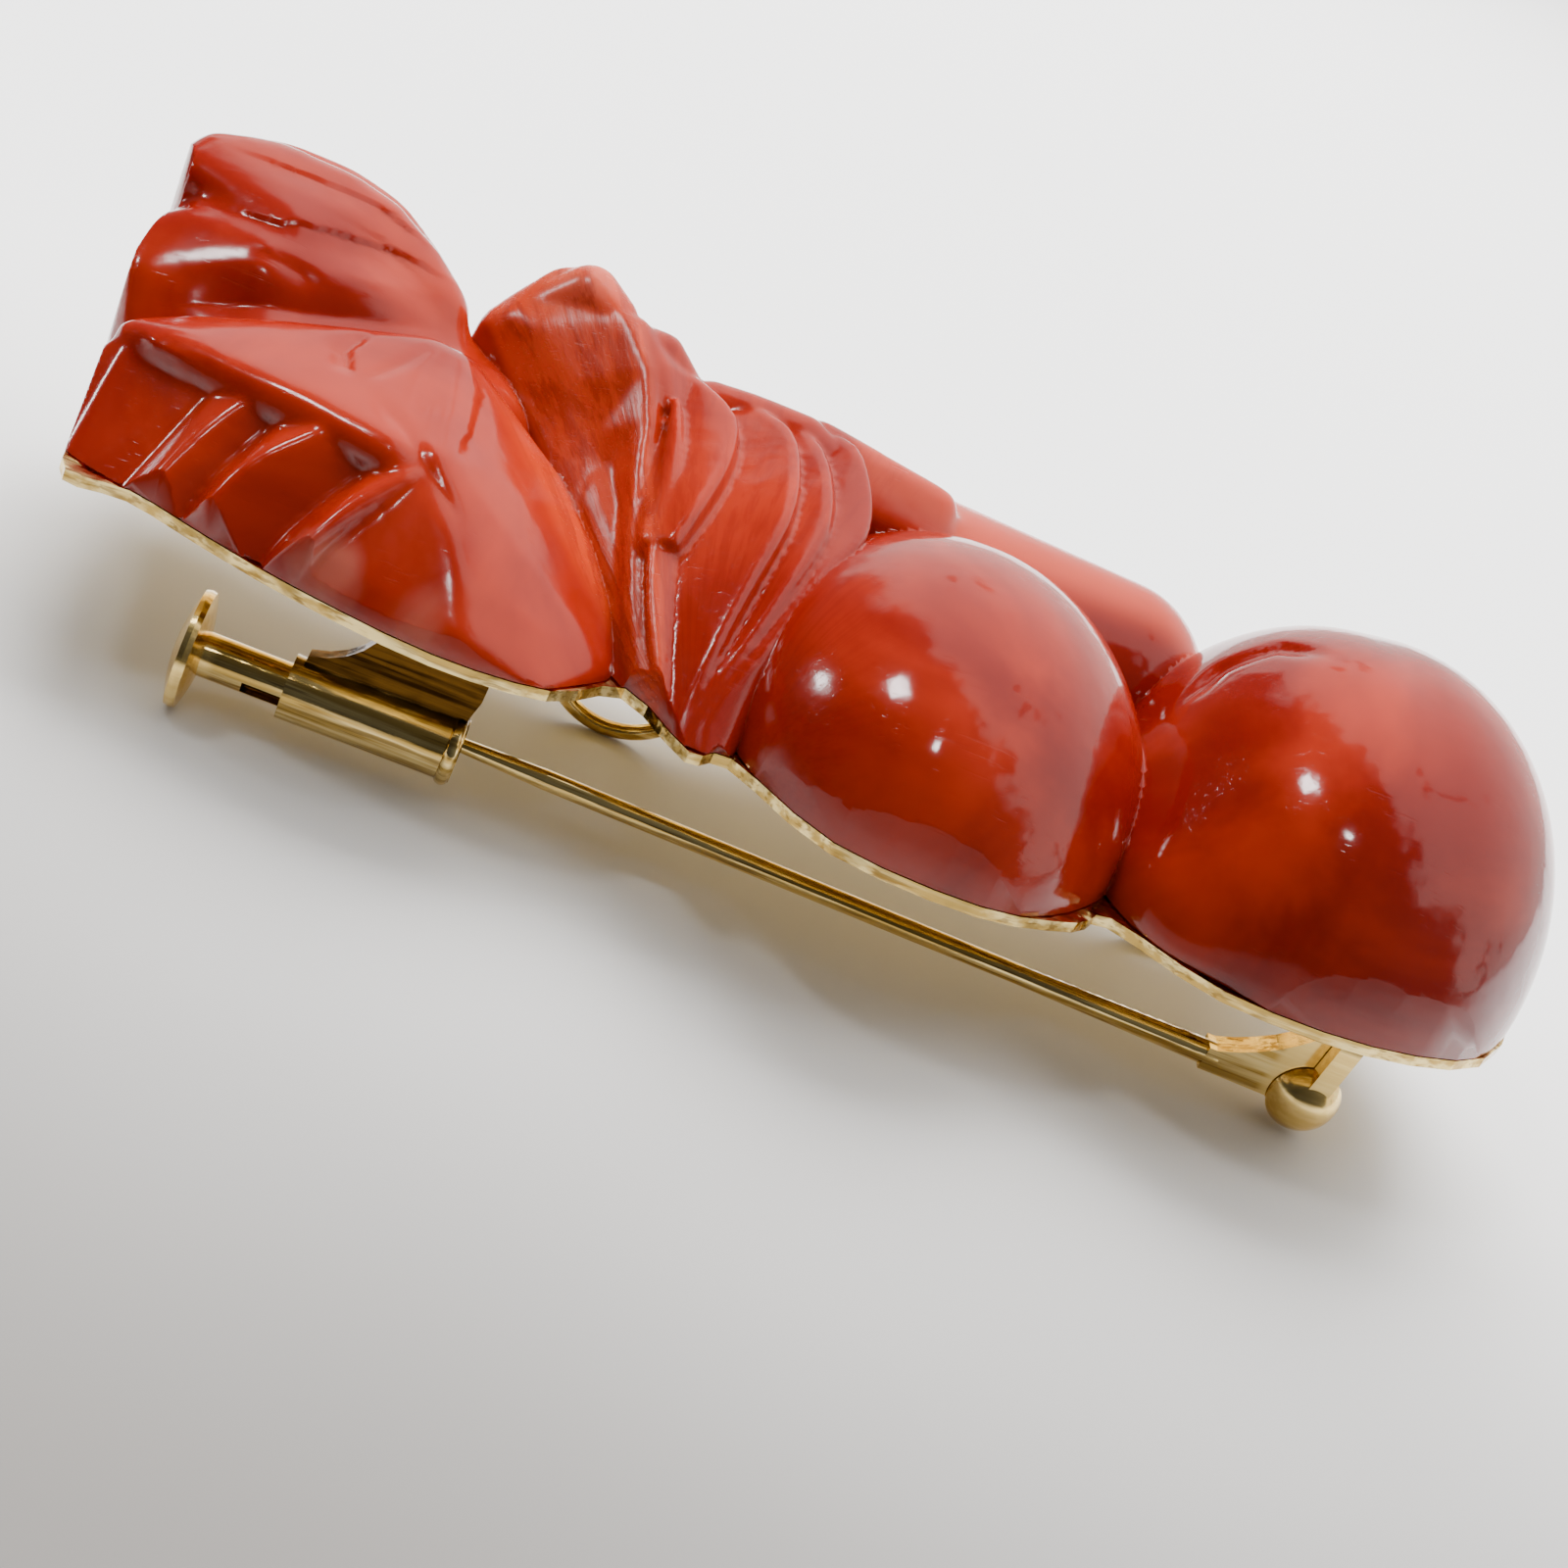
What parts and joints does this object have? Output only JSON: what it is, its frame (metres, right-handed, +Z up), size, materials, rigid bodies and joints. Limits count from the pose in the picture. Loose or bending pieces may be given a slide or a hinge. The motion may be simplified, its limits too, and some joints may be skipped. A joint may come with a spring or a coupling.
{
  "type": "brooch",
  "caption": "Long brooch carved as leaves and round fruit, flat-backed on a thin metal plate, with a hinged pin, a pull-out tube clasp and wire loops behind.",
  "frame": {"origin": "under the middle of the brooch, on the surface that it lies on", "axes": "+X along the brooch from the clasp's knob towards the pin's hinge, +Y away from the clasp's side, +Z up out of the carving's face"},
  "size_m": [0.0534, 0.0218, 0.0154],
  "materials": {
    "coral": "polished red coral, mottled, with a few pale patches",
    "gold": null
  },
  "bodies": {
    "brooch": {"coral_carving": "coral", "back_plate": "gold"},
    "pin": {"pin_stem": "gold"},
    "slider": {"catch_slider": "gold"}
  },
  "joints": [
    {"name": "pin_hinge", "type": "hinge", "parent": "brooch", "child": "pin", "pos_m": [0.0204, -0.00585, 0.0014], "axis": [0, -1, 0], "range_deg": [0, 70]},
    {"name": "clasp_slide", "type": "slide", "parent": "brooch", "child": "slider", "axis": [1, 0, 0], "range_m": [0, 0.0024]}
  ]
}
